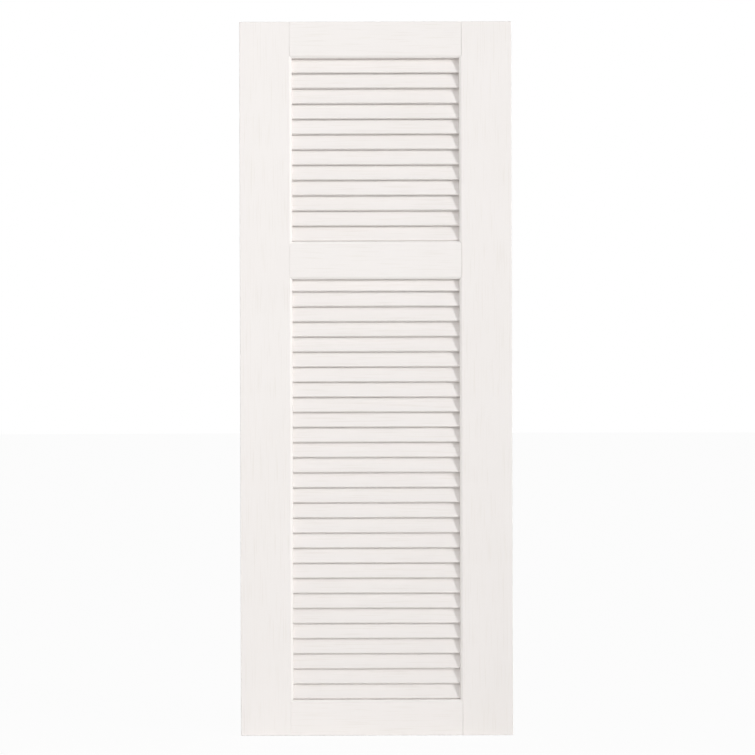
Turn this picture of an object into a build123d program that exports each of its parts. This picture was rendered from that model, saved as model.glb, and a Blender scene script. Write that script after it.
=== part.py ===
from build123d import *
import math
import os
from collections import namedtuple

# A fixed louvred shutter panel: two stiles, three rails, forty louvres and two louvre supports.
# Millimetres, +Z up. The front faces -Y and the wall side faces +Y.
# The origin is at the middle of the bottom edge, half way through the thickness.

# Frame boards
panel_width = 457.2
panel_height = 1200.0
frame_thickness = 32.0
stile_width = 88.0
top_rail_height = 61.2
mid_rail_height = 63.3
bottom_rail_height = 60.1
upper_opening_height = 308.5
arris = 1.0

# Shallow bevel round the front of each opening, mitred in the corners
bevel_width = 4.0
bevel_depth = 2.0

# Blind tenons on the rails
tenon_thickness = 10.0
tenon_length = 50.0
tenon_shoulder = 10.0
glue_room = 1.5

# Louvres, leaning back from a rounded nose and evenly spaced in each opening
louvre_width = 38.0
louvre_thickness = 5.6
nose_radius = 4.6
louvre_lean = 22.5
nose_recess = 5.8
upper_louvre_count = 12
lower_louvre_count = 28
lowest_nose_gap = 0.5

# Height left open between each opening's top and the nose of its top louvre
upper_top_face = 25.0
lower_top_face = 20.7

# Housings in the stiles for the louvre ends
housing_depth = 8.0
housing_fit = 0.15
housing_end_room = 0.5

# Notched strip that holds the louvres at mid-span
support_thickness = 3.2
support_back_recess = 1.0
finger_recess = 8.5
finger_depth = 5.6
support_fit = 0.15
socket_depth = 6.0
socket_end_room = 0.5

# Places worked out from the sizes above
half_width = panel_width / 2
opening_half = half_width - stile_width
shoulder_half = opening_half + bevel_width
front_y = -frame_thickness / 2
back_y = frame_thickness / 2
lean = math.radians(louvre_lean)
nose_edge = math.asin(louvre_thickness / 2 / nose_radius)
nose_front_y = front_y + nose_recess
nose_y = nose_front_y + nose_radius * math.sin(lean + nose_edge)
finger_front_y = nose_front_y + finger_recess
spine_front_y = finger_front_y + finger_depth
spine_back_y = back_y - support_back_recess

Span = namedtuple("Span", "bottom top")
Opening = namedtuple("Opening", "bottom top louvre_count top_face")
upper_top = panel_height - top_rail_height
upper_bottom = upper_top - upper_opening_height
lower_top = upper_bottom - mid_rail_height
openings = {
    "upper": Opening(upper_bottom, upper_top, upper_louvre_count, upper_top_face),
    "lower": Opening(bottom_rail_height, lower_top, lower_louvre_count, lower_top_face),
}
rails = {
    "top_rail": Span(upper_top, panel_height),
    "mid_rail": Span(lower_top, upper_bottom),
    "bottom_rail": Span(0.0, bottom_rail_height),
}


def upright_block(half_x, front, back, bottom, top):
    """Block centred on X between a front and a back depth and two heights."""
    block = Box(2 * half_x, back - front, top - bottom)
    return Pos(0, (front + back) / 2, (bottom + top) / 2) * block


def nose_heights(opening):
    """Heights of the nose centres in one opening, from the lowest louvre up."""
    lowest = opening.bottom + lowest_nose_gap + nose_radius
    highest = opening.top - opening.top_face + nose_radius
    pitch = (highest - lowest) / (opening.louvre_count - 1)
    return [lowest + step * pitch for step in range(opening.louvre_count)]


def window(opening):
    """The opening as seen from its side, between the rails and between front and back."""
    height = opening.top - opening.bottom
    return Pos(0, opening.bottom + height / 2) * Rectangle(frame_thickness, height)


def louvre_section(nose_z, opening, room=0.0):
    """Section of a louvre, or of its housing where there is room around it.

    The underside stays in place, so the louvre rests in its housing. The rail above cuts the section off.
    """
    radius = nose_radius + room
    thickness = louvre_thickness + 2 * room
    blade = louvre_width - nose_radius + room
    strip = Pos((blade - radius) / 2, 0) * Rectangle(blade + radius, thickness)
    outline = (Circle(radius) + Pos(blade / 2, 0) * Rectangle(blade, thickness)) & strip
    leaning = Plane((0, nose_y, nose_z), x_dir=(0, math.sin(lean), math.cos(lean)), z_dir=(1, 0, 0))
    return (leaning * Pos(0, room) * outline) & (Plane.YZ * window(opening))


def louvre(nose_z, opening):
    """One louvre, halved at the back over the support strip."""
    half_length = opening_half + housing_depth - housing_end_room
    blade = extrude(louvre_section(nose_z, opening), half_length, both=True)
    half_notch = support_thickness / 2 + support_fit
    return blade - upright_block(half_notch, spine_front_y - support_fit, back_y, opening.bottom, opening.top)


def slope_height(nose_z, y, across):
    """Height at depth y of the line along a louvre that lies across millimetres in front of its middle."""
    return nose_z + (y - nose_y) / math.tan(lean) + across / math.sin(lean)


def support(opening):
    """Notched strip behind the louvres: a spine, with a finger between each two louvres."""
    spine_bottom = opening.bottom - socket_depth
    spine_top = opening.top + socket_depth - socket_end_room
    spine_depth = spine_back_y - spine_front_y
    middle = Pos(spine_front_y + spine_depth / 2, (spine_bottom + spine_top) / 2)
    strip = middle * Rectangle(spine_depth, spine_top - spine_bottom)
    under_side = -louvre_thickness / 2
    upper_side = louvre_thickness / 2 + support_fit
    noses = nose_heights(opening)
    for below, above in zip(noses, noses[1:]):
        strip += window(opening) & Polygon(
            (finger_front_y, slope_height(below, finger_front_y, upper_side)),
            (spine_front_y, slope_height(below, spine_front_y, upper_side)),
            (spine_front_y, slope_height(above, spine_front_y, under_side)),
            (finger_front_y, slope_height(above, finger_front_y, under_side)),
            align=None,
        )
    return extrude(Plane.YZ * strip, support_thickness / 2, both=True)


def support_socket(rail, level):
    """Socket for the end of a support strip in the edge of a rail at this level."""
    inner = level + socket_depth if level == rail.bottom else level - socket_depth
    half_socket = support_thickness / 2 + support_fit
    bottom, top = sorted((level, inner))
    return upright_block(half_socket, spine_front_y - support_fit, spine_back_y + support_fit, bottom, top)


def bevelled(board, edges):
    """Board with the shallow bevel on its front edges that face an opening."""
    face = board.faces().sort_by(Axis.Y)[0]
    return chamfer(edges, bevel_width, bevel_depth, reference=face)


def tenons(rail, length):
    """Bar through both ends of a rail, as long as its tenons or as the mortises for them."""
    reach = shoulder_half + length
    half_thickness = tenon_thickness / 2
    bottom = rail.bottom + tenon_shoulder
    return upright_block(reach, -half_thickness, half_thickness, bottom, rail.top - tenon_shoulder)


def stile():
    """Right stile: a board with a mitred tongue beside each opening, louvre housings and mortises."""
    width = half_width - shoulder_half
    outline = Pos(shoulder_half + width / 2, panel_height / 2) * Rectangle(width, panel_height)
    for opening in openings.values():
        outline += Polygon(
            (shoulder_half, opening.bottom - bevel_width),
            (opening_half, opening.bottom),
            (opening_half, opening.top),
            (shoulder_half, opening.top + bevel_width),
            align=None,
        )
    board = extrude(Plane.XZ * outline, frame_thickness / 2, both=True)
    levels = board.edges().filter_by(Axis.X).group_by(Axis.Z)
    board = chamfer(board.edges().group_by(Axis.X)[-1] + levels[0] + levels[-1], arris)
    inner = board.edges().filter_by(Axis.Z).group_by(Axis.X)[0]
    board = bevelled(board, inner.group_by(Axis.Y)[0])
    for opening in openings.values():
        sections = [louvre_section(nose_z, opening, housing_fit) for nose_z in nose_heights(opening)]
        board -= [extrude(Pos(opening_half, 0, 0) * section, housing_depth) for section in sections]
    board -= [tenons(rail, tenon_length + glue_room) for rail in rails.values()]
    return board


def rail_board(rail):
    """Rail with tenons, ends cut to the stiles' tongues, and a bevel and a socket at each opening."""
    height = rail.top - rail.bottom
    outline = Pos(0, rail.bottom + height / 2) * Rectangle(2 * shoulder_half, height)
    sides = {rail.bottom: 0, rail.top: -1}
    open_levels = [level for level in sides if 0 < level < panel_height]
    for level in open_levels:
        outline = chamfer(outline.vertices().group_by(Axis.Y)[sides[level]], bevel_width)
    board = extrude(Plane.XZ * outline, frame_thickness / 2, both=True)
    for level, side in sides.items():
        edges = board.edges().filter_by(Axis.X).group_by(Axis.Z)[side]
        if level in open_levels:
            board = bevelled(board, edges.group_by(Axis.Y)[0]) - support_socket(rail, level)
        else:
            board = chamfer(edges, arris)
    return board + tenons(rail, tenon_length)


def build():
    """Every piece by its name."""
    right = stile()
    pieces = {"right_stile": right, "left_stile": mirror(right, about=Plane.YZ)}
    for name, rail in rails.items():
        pieces[name] = rail_board(rail)
    for place, opening in openings.items():
        pieces[f"{place}_louvre_support"] = support(opening)
        for number, nose_z in enumerate(reversed(nose_heights(opening)), start=1):
            pieces[f"{place}_louvre_{number:02d}"] = louvre(nose_z, opening)
    return pieces


os.makedirs("parts", exist_ok=True)
for name, piece in build().items():
    export_step(piece, f"parts/{name}.step")
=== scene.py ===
# %% [markdown]
# # A fixed louvred shutter panel
#
# The object is one painted timber shutter panel: two upright stiles, three rails and forty slanted louvres.
# A CAD model already holds every piece at its true size, so this lesson starts from that model.
# Loading it gives a frame to measure. Each board and louvre is then modelled again in the same place,
# with the soft edges and the paint that the CAD solids lack.

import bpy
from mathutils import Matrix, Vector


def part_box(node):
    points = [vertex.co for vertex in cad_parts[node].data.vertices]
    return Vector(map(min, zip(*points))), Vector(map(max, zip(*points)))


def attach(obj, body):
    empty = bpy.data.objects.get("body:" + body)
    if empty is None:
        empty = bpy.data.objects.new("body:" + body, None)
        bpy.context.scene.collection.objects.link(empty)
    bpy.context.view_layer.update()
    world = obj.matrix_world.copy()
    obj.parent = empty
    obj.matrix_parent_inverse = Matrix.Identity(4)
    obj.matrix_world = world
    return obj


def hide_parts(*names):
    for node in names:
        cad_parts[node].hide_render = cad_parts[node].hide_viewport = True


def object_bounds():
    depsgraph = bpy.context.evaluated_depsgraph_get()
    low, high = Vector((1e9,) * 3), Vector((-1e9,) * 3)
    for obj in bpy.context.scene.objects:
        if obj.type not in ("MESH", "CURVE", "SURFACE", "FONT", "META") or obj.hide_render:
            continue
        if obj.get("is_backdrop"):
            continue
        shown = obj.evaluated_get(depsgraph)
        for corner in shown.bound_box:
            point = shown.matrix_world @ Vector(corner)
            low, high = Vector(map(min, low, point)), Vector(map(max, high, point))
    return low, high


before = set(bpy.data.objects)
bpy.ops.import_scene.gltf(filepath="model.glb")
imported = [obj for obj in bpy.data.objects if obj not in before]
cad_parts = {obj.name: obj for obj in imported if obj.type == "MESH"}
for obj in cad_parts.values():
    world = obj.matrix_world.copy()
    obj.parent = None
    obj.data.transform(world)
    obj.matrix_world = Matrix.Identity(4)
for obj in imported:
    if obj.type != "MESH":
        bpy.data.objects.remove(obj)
cad_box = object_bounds()
print("CAD nodes:", len(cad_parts))

# %% [markdown]
# ## Measure the frame
#
# Blender works in metres and a joiner works in millimetres, so one constant turns one into the other.
# The corners of the CAD nodes give the outline of the panel, the rails and the two openings.
# Reading them keeps the new boards true if the CAD sizes change.

# %% Units and places of the boards
import math

import bmesh
import bpy
from mathutils import Vector

MM = 0.001
TINY = 0.01 * MM

front, back = cad_box[0].y, cad_box[1].y
half_width, panel_height = cad_box[1].x, cad_box[1].z
opening_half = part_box("right_stile")[0].x
tenon_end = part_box("mid_rail")[1].x
rail_names = ("top_rail", "mid_rail", "bottom_rail")
rails = {name: (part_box(name)[0].z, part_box(name)[1].z) for name in rail_names}
openings = {
    "upper": (rails["mid_rail"][1], rails["top_rail"][0]),
    "lower": (rails["bottom_rail"][1], rails["mid_rail"][0]),
}
for name, (bottom, top) in {**rails, **openings}.items():
    print(f"{name}: {bottom / MM:.1f} to {top / MM:.1f} mm")

# %% [markdown]
# ## Helpers for shaping a board
#
# A joiner starts each part as a square board and works its edges, and the same order works in edit mode.
# `start_board` adds a cube and stretches it to the board's corners.
# `pick` selects by place: an edge or a face is chosen by its middle point, which needs no mouse.
# `cut` slices the piece with Bisect. It either leaves a loop of edges for the next step to take hold of,
# or removes what lies beyond the slice and closes the piece again.

# %% Start a board, pick parts of it and cut it
def near(value, target):
    return abs(value - target) < TINY


def select_only(piece):
    bpy.ops.object.select_all(action="DESELECT")
    piece.select_set(True)
    bpy.context.view_layer.objects.active = piece


def start_board(name, low, high):
    """A board between two corners, left in edit mode."""
    bpy.ops.object.select_all(action="DESELECT")
    low, high = Vector(low), Vector(high)
    bpy.ops.mesh.primitive_cube_add(size=1, location=(low + high) / 2, scale=high - low)
    bpy.ops.object.transform_apply()
    board = bpy.context.object
    board.name = board.data.name = name
    bpy.ops.object.mode_set(mode="EDIT")
    return board


def pick(kind, passes):
    """Selects only the vertices, edges or faces whose middle passes a test."""
    bpy.ops.mesh.select_mode(type=kind)
    bpy.ops.mesh.select_all(action="DESELECT")
    mesh = bmesh.from_edit_mesh(bpy.context.object.data)
    for part in {"VERT": mesh.verts, "EDGE": mesh.edges, "FACE": mesh.faces}[kind]:
        corners = [part.co] if kind == "VERT" else [corner.co for corner in part.verts]
        if passes(sum(corners, Vector()) / len(corners)):
            part.select_set(True)
    bmesh.update_edit_mesh(bpy.context.object.data)


def cut(point, direction, keep_both=True):
    """Bisects the whole piece. What lies on the direction's side goes unless both sides are kept."""
    bpy.ops.mesh.select_all(action="SELECT")
    bpy.ops.mesh.bisect(
        plane_co=point, plane_no=direction, use_fill=not keep_both, clear_outer=not keep_both
    )


def move(offset):
    bpy.ops.transform.translate(value=offset)


def draw_out(offset):
    bpy.ops.mesh.extrude_region_move(TRANSFORM_OT_translate={"value": offset})


print("tools ready")

# %% [markdown]
# ## Softened edges
#
# Sanding and paint leave no sharp edge on a real board. The long outer edges are the roundest.
# Where a rail meets a stile both edges are broken by a fraction of a millimetre.
# The Bevel modifier can do both at once, because each edge carries a weight:
# the share of the largest radius that this edge gets.

# %% Give edges a radius, then bevel, carve and shade
rim_radius = 1.2 * MM
ridge_radius = 0.6 * MM
right_joint_radius = 0.3 * MM
left_joint_radius = 0.2 * MM
edge_segments = 3
smooth_angle = math.radians(40)


def soften(radius, passes):
    pick("EDGE", passes)
    bpy.ops.transform.edge_bevelweight(value=radius / rim_radius)


def add_modifier(piece, kind, **settings):
    """Adds a modifier, sets it and applies it."""
    select_only(piece)
    bpy.ops.object.modifier_add(type=kind)
    modifier = piece.modifiers[-1]
    for setting, value in settings.items():
        setattr(modifier, setting, value)
    bpy.ops.object.modifier_apply(modifier=modifier.name)


def round_edges(piece):
    add_modifier(piece, "BEVEL", limit_method="WEIGHT", width=rim_radius, segments=edge_segments)


def carve(piece, cutter, operation="DIFFERENCE"):
    """Cuts the piece with another one, or joins them, and removes the other one."""
    bpy.ops.object.mode_set(mode="OBJECT")
    add_modifier(piece, "BOOLEAN", object=cutter, operation=operation, solver="EXACT")
    bpy.data.objects.remove(cutter)


def shade(piece):
    """Smooth shading over the rounded edges, with the flat faces kept flat."""
    select_only(piece)
    bpy.ops.object.shade_smooth_by_angle(angle=smooth_angle)
    add_modifier(piece, "WEIGHTED_NORMAL", keep_sharp=True)


print(f"edge radii: {left_joint_radius / MM:.1f} to {rim_radius / MM:.1f} mm")

# %% [markdown]
# ## One louvre
#
# A louvre is a flat slat with a rounded nose at its front edge, leaning back from the nose.
# It could be drawn as a profile and extruded. Starting from a cylinder is quicker here:
# the cylinder is the nose, two cuts flatten it to the slat's thickness, a third removes its back half,
# and the cut face is extruded back to the slat's width. Bevels round the two back edges and blend the nose
# into the flat sides. Then the whole slat is turned to its lean.
# The same steps with a little more room all round give the cutter for the housings in the stiles.

# %% Shape a louvre
first_louvre = "lower_louvre_28"
first_low, first_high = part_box(first_louvre)
nose_radius = 4.6 * MM
louvre_thickness = 5.6 * MM
louvre_width = 38.0 * MM
louvre_lean = math.radians(22.5)
crease_angle = math.asin(louvre_thickness / 2 / nose_radius)
back_edge_radius = 0.8 * MM
nose_blend = 0.9 * MM
nose_vertices = 72
nose_blend_segments = 4
nose_y = first_low.y + nose_radius * math.sin(louvre_lean + crease_angle)
louvre_nodes = [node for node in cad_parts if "_louvre_" in node and "support" not in node]
nose_levels = {node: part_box(node)[0].z + nose_radius for node in louvre_nodes}


def shape_louvre(name, nose_z, half_length, room=0.0):
    """A louvre with its nose at this height, or its cutter where there is room around it."""
    bpy.ops.object.select_all(action="DESELECT")
    nose = Vector((0, nose_y, nose_z))
    bpy.ops.mesh.primitive_cylinder_add(
        vertices=nose_vertices,
        radius=nose_radius + room,
        depth=2 * half_length,
        location=nose,
        rotation=(0, math.pi / 2, 0),
    )
    bpy.ops.object.transform_apply()
    slat = bpy.context.object
    slat.name = slat.data.name = name
    bpy.ops.object.mode_set(mode="EDIT")
    half_thickness = louvre_thickness / 2 + room
    cut(nose + Vector((0, 0, half_thickness)), (0, 0, 1), keep_both=False)
    cut(nose - Vector((0, 0, half_thickness)), (0, 0, -1), keep_both=False)
    cut(nose, (0, 1, 0), keep_both=False)
    pick("FACE", lambda middle: near(middle.y, nose.y))
    draw_out((0, louvre_width - nose_radius + room, 0))
    back_end = nose.y + louvre_width - nose_radius + room
    pick("EDGE", lambda middle: near(middle.y, back_end) and near(middle.x, 0))
    bpy.ops.mesh.bevel(offset=back_edge_radius, segments=edge_segments)
    crease_y = nose.y - math.sqrt((nose_radius + room) ** 2 - half_thickness**2)
    pick("EDGE", lambda middle: near(middle.y, crease_y) and near(middle.x, 0))
    bpy.ops.mesh.bevel(offset=nose_blend, segments=nose_blend_segments)
    bpy.ops.mesh.select_all(action="SELECT")
    bpy.ops.transform.rotate(
        value=louvre_lean - math.pi / 2, orient_axis="X", center_override=nose, orient_type="GLOBAL"
    )
    bpy.ops.object.mode_set(mode="OBJECT")
    return slat


louvre = shape_louvre("first_louvre", nose_levels[first_louvre], first_high.x)
for corner, cad_corner in ((min, first_low), (max, first_high)):
    reach = Vector(map(corner, *(vertex.co for vertex in louvre.data.vertices)))
    print("louvre's corner is off the CAD one by", [round(gap / MM, 2) for gap in reach - cad_corner], "mm")

# %% [markdown]
# ## The notch for the support
#
# Behind the louvres a thin strip holds them at mid-span, and each louvre is notched over it.
# Such a halving joint is one saw cut in every louvre, so a Boolean cuts it once here, before copying.

# %% Notch the louvre
support_fit = 0.15 * MM
finger_depth = 5.6 * MM
support_low, support_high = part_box("lower_louvre_support")
spine_front = support_low.y + finger_depth - support_fit
notch = start_board(
    "notch",
    (support_low.x - support_fit, spine_front, first_low.z),
    (support_high.x + support_fit, back, first_high.z),
)
carve(louvre, notch)
print("faces on a notched louvre:", len(louvre.data.polygons))

# %% [markdown]
# ## Forty louvres
#
# The louvres are all alike, so the first is duplicated and moved to the place of each CAD louvre.
# Duplicate gives each copy a mesh of its own, so the top louvre of an opening can be cut off at the rail
# without touching the others.

# %% Copy the louvre to every place
def rail_level(node):
    """Height of the rail above the opening that holds this louvre."""
    return openings[node.split("_")[0]][1]


def cut_off_above(level):
    bpy.ops.object.mode_set(mode="EDIT")
    cut((0, 0, level), (0, 0, 1), keep_both=False)
    bpy.ops.object.mode_set(mode="OBJECT")


def copy_louvre(node):
    """A copy of the louvre in its CAD place, cut off where the rail above is in its way."""
    select_only(louvre)
    bpy.ops.object.duplicate()
    copy = bpy.context.object
    copy.name = copy.data.name = f"painted_{node}"
    move((0, 0, nose_levels[node] - nose_levels[first_louvre]))
    bpy.ops.object.transform_apply()
    if max(vertex.co.z for vertex in copy.data.vertices) > rail_level(node):
        cut_off_above(rail_level(node))
    shade(copy)
    return copy


louvres = {node: copy_louvre(node) for node in louvre_nodes}
bpy.data.objects.remove(louvre)
print("louvres:", len(louvres))

# %% [markdown]
# ## The stiles
#
# A stile is the upright board at each side. Beside each opening it has a shallow bevel on its front edge,
# and the bevel is mitred into the rails' own, like the corner of a picture frame.
# So each stile has a tongue beside each opening: the side of the board is extruded by the bevel's width,
# its ends are moved in to make the mitres, and its front edge is pushed back to make the slope.

# %% Shape a stile
bevel_width = 4.0 * MM
bevel_depth = 2.0 * MM
joint_x = opening_half + bevel_width


def on_a_face(middle):
    return near(middle.y, front) or near(middle.y, back)


def on_an_end(middle):
    return near(middle.z, 0) or near(middle.z, panel_height)


def beside_an_opening(middle):
    return any(bottom - bevel_width < middle.z < top + bevel_width for bottom, top in openings.values())


def on_a_mitre(middle, side=1):
    across = near(middle.x, side * (joint_x + opening_half) / 2)
    return across and (near(middle.y, front + bevel_depth / 2) or near(middle.y, back))


def shape_stile(name, joint_radius):
    """The right-hand stile as a board with its tongues and softened edges."""
    board = start_board(name, (joint_x, front, 0), (half_width, back, panel_height))
    for bottom, top in openings.values():
        tongue = (bottom - bevel_width, top + bevel_width)
        for level in tongue:
            cut((0, 0, level), (0, 0, 1))
        pick("FACE", lambda middle: near(middle.x, joint_x) and tongue[0] < middle.z < tongue[1])
        draw_out((-bevel_width, 0, 0))
        for level, inwards in zip(tongue, (1, -1)):
            pick("VERT", lambda corner: near(corner.x, opening_half) and near(corner.z, level))
            move((0, 0, inwards * bevel_width))
    pick("VERT", lambda corner: near(corner.x, opening_half) and near(corner.y, front))
    move((0, bevel_depth, 0))

    soften(
        rim_radius,
        lambda middle: on_a_face(middle) and (near(middle.x, half_width) or on_an_end(middle)),
    )
    soften(rim_radius, lambda middle: near(middle.x, half_width) and on_an_end(middle))
    soften(
        ridge_radius,
        lambda middle: near(middle.x, joint_x) and near(middle.y, front) and beside_an_opening(middle),
    )
    soften(ridge_radius, lambda middle: near(middle.x, opening_half) and not near(middle.y, 0))
    soften(
        joint_radius,
        lambda middle: near(middle.x, joint_x) and on_a_face(middle) and not beside_an_opening(middle),
    )
    soften(joint_radius, lambda middle: near(middle.x, joint_x) and on_an_end(middle))
    soften(joint_radius, on_a_mitre)
    bpy.ops.object.mode_set(mode="OBJECT")
    round_edges(board)
    return board


stiles = {
    "left_stile": shape_stile("painted_left_stile", left_joint_radius),
    "right_stile": shape_stile("painted_right_stile", right_joint_radius),
}
print("faces on a stile:", len(stiles["right_stile"].data.polygons))

# %% [markdown]
# ## Housings and mortises
#
# The louvre ends sit in slanting housings, and each rail has a tenon that sits in a mortise.
# Both are cuts in the stile. The cutters for the housings are the louvre again with a hair of room,
# set at each louvre's height, and all the cutters are joined so that one Boolean makes every cut.

# %% Cut the stiles
housing_fit = 0.15 * MM
housing_end_room = 0.5 * MM
tenon_thickness = 10.0 * MM
tenon_shoulder = 10.0 * MM
glue_room = 1.5 * MM


def shape_tenon(name, rail, reach):
    bottom, top = rails[rail]
    low = (-reach, -tenon_thickness / 2, bottom + tenon_shoulder)
    bar = start_board(name, low, (reach, tenon_thickness / 2, top - tenon_shoulder))
    bpy.ops.object.mode_set(mode="OBJECT")
    return bar


def join_cutters():
    """One mesh with every housing and mortise of both stiles."""
    cutters = [shape_tenon("mortise", rail, tenon_end + glue_room) for rail in rails]
    for node in louvre_nodes:
        half_length = first_high.x + housing_end_room
        cutters.append(shape_louvre("housing", nose_levels[node], half_length, housing_fit))
        cut_off_above(rail_level(node))
    bpy.ops.object.select_all(action="DESELECT")
    for cutter in cutters:
        cutter.select_set(True)
    bpy.context.view_layer.objects.active = cutters[0]
    bpy.ops.object.join()
    return bpy.context.object


for stile in stiles.values():
    carve(stile, join_cutters())
print("faces on a cut stile:", len(stiles["right_stile"].data.polygons))

# %% [markdown]
# ## The left stile
#
# Both stiles were shaped on the right, so the left one is now mirrored across the middle of the panel.
# Mirroring turns every face inside out, which Recalculate Outside puts right.

# %% Mirror the left stile
select_only(stiles["left_stile"])
bpy.ops.object.mode_set(mode="EDIT")
bpy.ops.mesh.select_all(action="SELECT")
bpy.ops.transform.resize(value=(-1, 1, 1), center_override=(0, 0, 0), orient_type="GLOBAL")
bpy.ops.mesh.normals_make_consistent(inside=False)
bpy.ops.object.mode_set(mode="OBJECT")
for stile in stiles.values():
    shade(stile)
    outer_face = max((vertex.co.x for vertex in stile.data.vertices), key=abs)
    print(stile.name, "reaches x =", round(outer_face / MM, 1), "mm")

# %% [markdown]
# ## The rails
#
# A rail is the board between the stiles. It has the same bevel wherever it borders an opening,
# so each open side is extruded, mitred and sloped like the stiles' tongues.
# Its tenons are one bar through the board. A Boolean joins them, as tenon and rail are one piece of wood.
# Timber shrinks a little, so the paint has cracked into a hairline at the joints, wider on the right.
# Each end of the rail is moved back by that much, and the dark crack draws the joint line.
# Sides are counted as -1 for left and 1 for right.

# %% Shape a rail
hairlines = {-1: 0.16 * MM, 1: 0.26 * MM}


def shape_rail(rail):
    """A rail with its bevels, mitred ends and softened edges."""
    bottom, top = rails[rail]
    sides = []
    if bottom > TINY:
        sides.append((bottom, bottom + bevel_width))
    if top < panel_height - TINY:
        sides.append((top, top - bevel_width))
    inner = dict(sides)
    low = (-joint_x, front, inner.get(bottom, bottom))
    board = start_board(f"painted_{rail}", low, (joint_x, back, inner.get(top, top)))
    for level, ridge in sides:
        pick("FACE", lambda middle: near(middle.z, ridge))
        draw_out((0, 0, level - ridge))
        for side in (-1, 1):
            pick("VERT", lambda corner: near(corner.x, side * joint_x) and near(corner.z, level))
            move((-side * bevel_width, 0, 0))
        pick("VERT", lambda corner: near(corner.z, level) and near(corner.y, front))
        move((0, bevel_depth, 0))
        soften(ridge_radius, lambda middle: near(middle.z, ridge) and near(middle.y, front))
        soften(ridge_radius, lambda middle: near(middle.z, level) and near(middle.x, 0))
    soften(rim_radius, lambda middle: on_an_end(middle) and on_a_face(middle))
    for side, radius in ((-1, left_joint_radius), (1, right_joint_radius)):
        soften(radius, lambda middle: near(middle.x, side * joint_x) and on_a_face(middle))
        soften(radius, lambda middle: near(middle.x, side * joint_x) and on_an_end(middle))
        soften(radius, lambda middle: on_a_mitre(middle, side))
    for side, hairline in hairlines.items():
        pick("VERT", lambda corner: near(corner.x, side * joint_x))
        move((-side * hairline, 0, 0))
    bpy.ops.object.mode_set(mode="OBJECT")
    round_edges(board)
    carve(board, shape_tenon("tenon", rail, tenon_end), "UNION")
    return board


rail_boards = {rail: shape_rail(rail) for rail in rails}
print("faces on the mid rail:", len(rail_boards["mid_rail"].data.polygons))

# %% [markdown]
# ## Sockets for the supports
#
# The ends of the two support strips are let into the rails. Each socket takes its size from the CAD strip's
# own box, with a hair of room, so the strips can stay as the CAD nodes they are.

# %% Cut the sockets
socket_end_room = 0.5 * MM
for place in openings:
    low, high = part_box(f"{place}_louvre_support")
    for rail, board in rail_boards.items():
        if rails[rail][0] < high.z and rails[rail][1] > low.z:
            socket = start_board(
                "socket",
                (low.x - support_fit, low.y + finger_depth - support_fit, low.z),
                (high.x + support_fit, high.y + support_fit, high.z + socket_end_room),
            )
            carve(board, socket)
            print(f"socket of the {place} support cut in the {rail}")
for board in rail_boards.values():
    shade(board)

# %% [markdown]
# ## Satin paint on timber
#
# The panel is timber under a warm white satin paint, put on with a brush along each board.
# Satin paint on wood is nearly even in colour. What shows close up are faint streaks along the grain,
# where the brush left more or less paint, and a slight unevenness over a hand's breadth.
# Noise stretched along the board gives the streaks. They are drawn about 2 mm wide, coarser than
# real bristle marks, because finer ones would be lost in the picture.
# The louvres get a touch greyer copy of the same paint. It is painted shade that stands for their recess
# behind the frame.
# Three short helpers keep the node trees readable: they clear a tree, add a node and do arithmetic.

# %% Colours and nodes for the paint
PAINT = "#F5F1EF"
THIN_PAINT = "#EBE6E1"
# Painted shade: the louvres' coat is the frame's white paint made a touch greyer, standing in for the shade
# of their recess.
SHADED_LOUVRE_PAINT = "#F2EEEC"
SHADED_THIN_LOUVRE_PAINT = "#E8E3DE"


def linear(hex_colour):
    """An sRGB hex colour as the linear colour that a node takes."""
    channels = [int(hex_colour[place:place + 2], 16) / 255 for place in (1, 3, 5)]
    return [c / 12.92 if c <= 0.04045 else ((c + 0.055) / 1.055) ** 2.4 for c in channels] + [1.0]


def clear_tree(owner):
    """The emptied node tree of a material or a world."""
    owner.use_nodes = True
    owner.node_tree.nodes.clear()
    return owner.node_tree


def add_node(tree, kind, inputs=None, **settings):
    """Adds a node. Each input takes a value, or the output that feeds it."""
    added = tree.nodes.new(kind)
    for setting, value in settings.items():
        setattr(added, setting, value)
    for name, value in (inputs or {}).items():
        if isinstance(value, bpy.types.NodeSocket):
            tree.links.new(value, added.inputs[name])
        else:
            added.inputs[name].default_value = value
    return added


def calculate(tree, operation, *values):
    """The result of a Math node on these values or outputs."""
    return add_node(tree, "ShaderNodeMath", dict(enumerate(values)), operation=operation).outputs[0]


print("paint in linear light:", [round(channel, 3) for channel in linear(PAINT)])

# %% Mix the paint
streak_width = 2.0 * MM
streak_length = 70 * MM
streak_relief = 0.02 * MM
streaks_begin, streaks_full = 0.45, 0.30
streak_share = 0.4
cloud_size = 120 * MM
cloud_share = 0.35
paint_roughness = 0.6
paint_ior = 1.5


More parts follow.
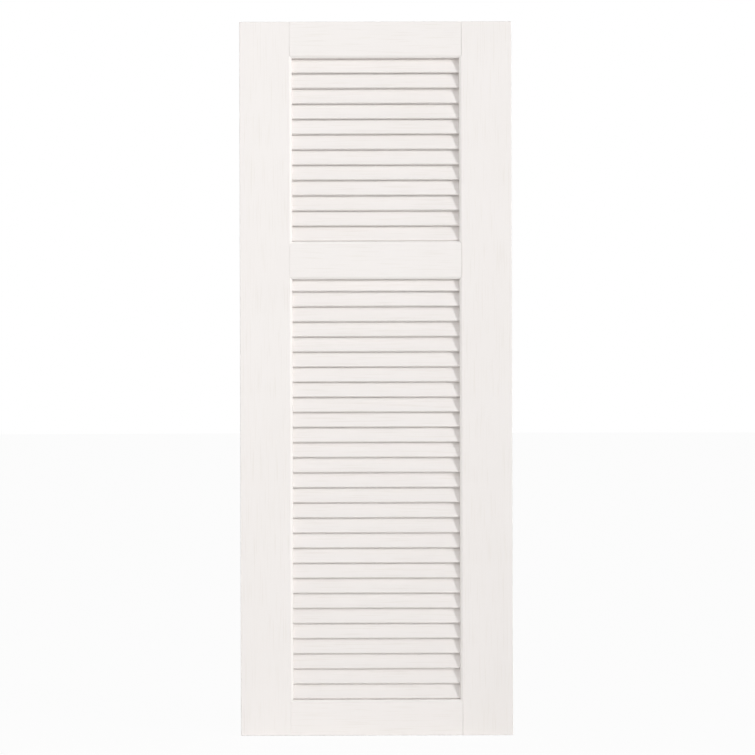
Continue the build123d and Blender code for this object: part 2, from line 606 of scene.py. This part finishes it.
def satin_paint(name, along, full_colour=PAINT, thin_colour=THIN_PAINT):
    """Brushed satin paint on a board whose grain runs along X or Z."""
    material = bpy.data.materials.new(name)
    tree = clear_tree(material)
    place = add_node(tree, "ShaderNodeTexCoord").outputs["Object"]
    stretch = [1 / streak_width] * 3
    stretch["XYZ".index(along)] = 1 / streak_length
    grain_place = add_node(tree, "ShaderNodeMapping", {"Vector": place, "Scale": stretch})
    grain = add_node(
        tree, "ShaderNodeTexNoise", {"Vector": grain_place.outputs["Vector"], "Scale": 1.0, "Detail": 1.0}
    )
    cloud = add_node(tree, "ShaderNodeTexNoise", {"Vector": place, "Scale": 1 / cloud_size, "Detail": 2.0})
    streaks = add_node(
        tree,
        "ShaderNodeMapRange",
        {
            "Value": grain.outputs["Fac"],
            "From Min": streaks_begin,
            "From Max": streaks_full,
            "To Max": streak_share,
        },
    )
    thin = calculate(tree, "MULTIPLY_ADD", cloud.outputs["Fac"], cloud_share, streaks.outputs["Result"])
    colour = add_node(
        tree,
        "ShaderNodeMix",
        {"Factor": thin, "A": linear(full_colour), "B": linear(thin_colour)},
        data_type="RGBA",
    )
    relief = add_node(
        tree,
        "ShaderNodeBump",
        {"Height": grain.outputs["Fac"], "Strength": 1.0, "Distance": streak_relief},
    )
    surface = add_node(
        tree,
        "ShaderNodeBsdfPrincipled",
        {
            "Base Color": colour.outputs["Result"],
            "Roughness": paint_roughness,
            "IOR": paint_ior,
            "Normal": relief.outputs["Normal"],
        },
    )
    add_node(tree, "ShaderNodeOutputMaterial", {"Surface": surface.outputs["BSDF"]})
    return material


upright_paint = satin_paint("satin_paint_on_upright_timber", "Z")
level_paint = satin_paint("satin_paint_on_level_timber", "X")
# Painted shade: the louvres' copy of the paint is darker than the frame's, in place of the shade they get.
shaded_louvre_paint = satin_paint("satin_paint_on_louvres_with_painted_shade", "X", SHADED_LOUVRE_PAINT, SHADED_THIN_LOUVRE_PAINT)
print("paints:", upright_paint.name, level_paint.name, shaded_louvre_paint.name)

# %% [markdown]
# ## Paint the pieces and put them on the frame
#
# Every new piece stands for the CAD node in its place, moves with the panel and gets its paint.
# The two support strips are the CAD nodes themselves, so they only get paint.

# %% Dress the frame
def dress(piece, node, paint):
    piece.data.materials.clear()
    piece.data.materials.append(paint)
    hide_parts(node)
    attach(piece, "root")


for node, piece in stiles.items():
    dress(piece, node, upright_paint)
for node, piece in rail_boards.items():
    dress(piece, node, level_paint)
for node, piece in louvres.items():
    dress(piece, node, shaded_louvre_paint)
for place in openings:
    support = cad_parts[f"{place}_louvre_support"]
    support.data.materials.clear()
    support.data.materials.append(upright_paint)

# %% [markdown]
# ## The floor
#
# The panel stands on a plain pale floor in a white studio. White behind an object comes from the
# background itself and not from more lamps, which would wash out the paint. Light Path tells what kind of
# ray is asking: the camera and reflections see white, while the light on the panel stays at a plain level.
# The floor mixes that white with a little true diffuse, so that the panel's shadow still shows on it.

# %% Lay the floor
FLOOR = "#DEDDDB"
WHITE = "#FFFFFF"
floor_radius = 30.0
floor_vertices = 96
floor_white = 0.96


def seen_directly(tree):
    """One for camera, glossy and transmission rays, and zero for the light that falls on things."""
    rays = add_node(tree, "ShaderNodeLightPath").outputs
    camera_or_glossy = calculate(tree, "MAXIMUM", rays["Is Camera Ray"], rays["Is Glossy Ray"])
    return calculate(tree, "MAXIMUM", camera_or_glossy, rays["Is Transmission Ray"])


bpy.ops.object.select_all(action="DESELECT")
bpy.ops.mesh.primitive_circle_add(
    vertices=floor_vertices, radius=floor_radius, fill_type="NGON", location=(0, 0, 0)
)
floor = bpy.context.object
floor.name = "studio_floor"
floor_paint = bpy.data.materials.new("matt_studio_floor")
tree = clear_tree(floor_paint)
matt = add_node(tree, "ShaderNodeBsdfDiffuse", {"Color": linear(FLOOR)})
white = add_node(tree, "ShaderNodeEmission", {"Color": linear(WHITE), "Strength": 1.0})
share = calculate(tree, "MULTIPLY", seen_directly(tree), floor_white)
surface = add_node(tree, "ShaderNodeMixShader", {0: share, 1: matt.outputs[0], 2: white.outputs[0]})
add_node(tree, "ShaderNodeOutputMaterial", {"Surface": surface.outputs[0]})
floor.data.materials.append(floor_paint)
floor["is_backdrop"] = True
print("floor colour in linear light:", [round(channel, 3) for channel in linear(FLOOR)])

# %% [markdown]
# ## Soft light all round
#
# A white panel shows its bevels and louvres only if light falls on it unevenly.
# The soft light of the room is made by the world. It is strong near the horizon and weak overhead,
# and it comes mostly from the front left, where it fills the shadows that the lamp on the right will leave.
# The dot product tells how far a direction points towards an aim, and Map Range turns that into light.

# %% Light the world
horizon_light = 1.92
zenith_light = 0.32
zenith_from = 0.7
fill_azimuth = math.radians(-50)
fill_spread = 0.4
back_share = 0.4

world = bpy.data.worlds.new("white_studio")
bpy.context.scene.world = world
tree = clear_tree(world)
direction = add_node(tree, "ShaderNodeTexCoord").outputs["Generated"]
towards_fill = (math.sin(fill_azimuth), -math.cos(fill_azimuth), 0)


def light_towards(aim, ranges):
    """A strength of light that changes with how far a direction points towards the aim."""
    turned = add_node(tree, "ShaderNodeVectorMath", {0: direction, 1: aim}, operation="DOT_PRODUCT")
    strengths = add_node(tree, "ShaderNodeMapRange", {"Value": turned.outputs["Value"], **ranges})
    return strengths.outputs["Result"]


by_height = light_towards(
    (0, 0, 1), {"From Max": zenith_from, "To Min": horizon_light, "To Max": zenith_light}
)
by_side = light_towards(
    towards_fill, {"From Min": -fill_spread, "From Max": fill_spread, "To Min": back_share}
)
strength = calculate(tree, "MULTIPLY", by_height, by_side)
soft = add_node(tree, "ShaderNodeBackground", {"Color": linear(WHITE), "Strength": strength})
white = add_node(tree, "ShaderNodeBackground", {"Color": linear(WHITE), "Strength": 1.0})
surface = add_node(
    tree, "ShaderNodeMixShader", {0: seen_directly(tree), 1: soft.outputs[0], 2: white.outputs[0]}
)
add_node(tree, "ShaderNodeOutputWorld", {"Surface": surface.outputs[0]})
print("light from the horizon and from above:", horizon_light, zenith_light)

# %% [markdown]
# ## One soft lamp
#
# Each louvre in the picture has a small wedge of shadow at its right-hand end, cast by the stile.
# So the main light comes from the front right, and from a little above.
# An area lamp with a moderate size gives the wedge its slightly soft edge. Its spread is narrow and it is
# aimed past the panel's upper left, because the picture is brightest there and darkest at the lower right.

# %% Place the lamp
panel_middle = Vector((0, 0, panel_height / 2))
lamp_distance = 12.0
lamp_azimuth = math.radians(45)
lamp_elevation = math.radians(11)
lamp_width = 1.6
lamp_height = 3.2
lamp_spread = math.radians(26)
lamp_power = 23.6
lamp_aim = Vector((-1.4, 0, 0.85))
towards_lamp = Vector((
    math.sin(lamp_azimuth) * math.cos(lamp_elevation),
    -math.cos(lamp_azimuth) * math.cos(lamp_elevation),
    math.sin(lamp_elevation),
))
lamp_place = panel_middle + towards_lamp * lamp_distance
bpy.ops.object.light_add(
    type="AREA",
    location=lamp_place,
    rotation=(lamp_aim - lamp_place).to_track_quat("-Z", "Y").to_euler(),
)
lamp = bpy.context.object
lamp.name = "key_lamp"
lamp.data.shape = "RECTANGLE"
lamp.data.size = lamp_width
lamp.data.size_y = lamp_height
lamp.data.spread = lamp_spread
lamp.data.energy = lamp_power
print("lamp stands at", [round(c, 2) for c in lamp.location], "m")

# %% [markdown]
# ## The camera
#
# The picture was taken straight from the front with the camera level with the middle of the panel.
# The panel fills 714 of the 755 rows, so the lens follows from that share and the distance.
# The aim is about a pixel off the middle and the camera is rolled by a fraction of a degree, to match.

# %% Set the camera
picture_size = 755
panel_rows = 714
aim_columns_right = 1.4
aim_rows_up = 1.0
camera_distance = 5.5
camera_roll = math.radians(0.15)
metres_per_pixel = panel_height / panel_rows
bpy.ops.object.camera_add(
    location=(
        aim_columns_right * metres_per_pixel,
        front - camera_distance,
        panel_middle.z + aim_rows_up * metres_per_pixel,
    ),
    rotation=(math.pi / 2, camera_roll, 0),
)
camera = bpy.context.object
camera.name = "front_camera"
camera.data.lens = camera.data.sensor_width * camera_distance / (metres_per_pixel * picture_size)
bpy.context.scene.camera = camera
bpy.context.scene.view_settings.view_transform = "Standard"
print(f"lens: {camera.data.lens:.1f} mm")

# %% [markdown]
# ## Print the size and finish
#
# The dressed panel has to keep the CAD model's size, so both boxes are printed side by side.

# %% Print both boxes and finish
boxes = {"cad": cad_box, "visual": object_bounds()}
for name, (low, high) in boxes.items():
    print(name, "box, mm:", [round(side / MM, 2) for side in high - low])
